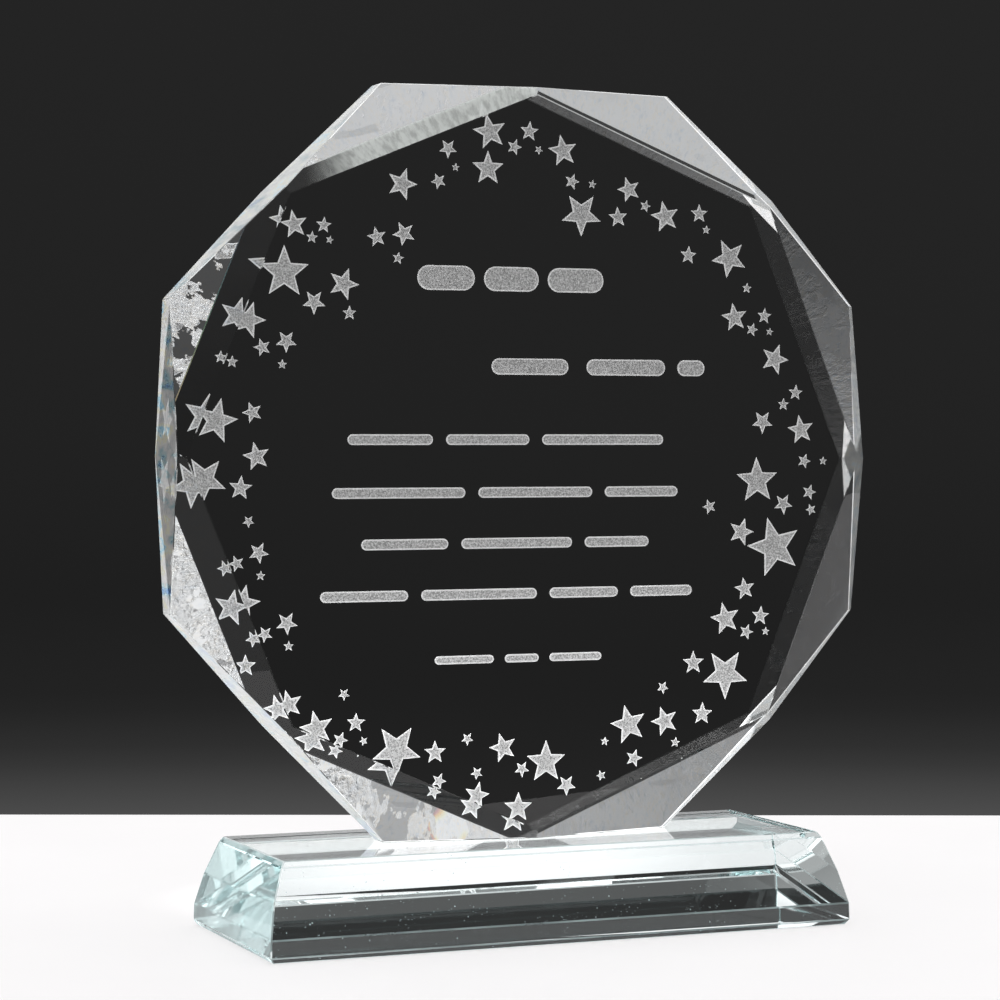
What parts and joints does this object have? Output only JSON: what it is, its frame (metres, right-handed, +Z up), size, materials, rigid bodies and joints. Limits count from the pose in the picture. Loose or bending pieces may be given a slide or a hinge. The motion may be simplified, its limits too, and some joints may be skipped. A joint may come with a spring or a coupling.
{
  "type": "star trophy",
  "caption": "Clear glass award: octagonal faceted plate with an engraved border of stars, standing on a low bevelled glass base.",
  "frame": {"origin": "middle of the base's underside, on the surface that the trophy stands on", "axes": "+X to the right as the front is read, +Y to the engraved back of the plate, +Z up"},
  "size_m": [0.181, 0.0616, 0.2052],
  "materials": {
    "plate_glass": "polished optical glass with frosted engraving",
    "clear_adhesive": "clear cured resin",
    "base_glass": "polished pale aqua glass"
  },
  "bodies": {
    "root": {"plate": "plate_glass", "adhesive_bond": "clear_adhesive", "base_block": "base_glass"}
  },
  "joints": []
}
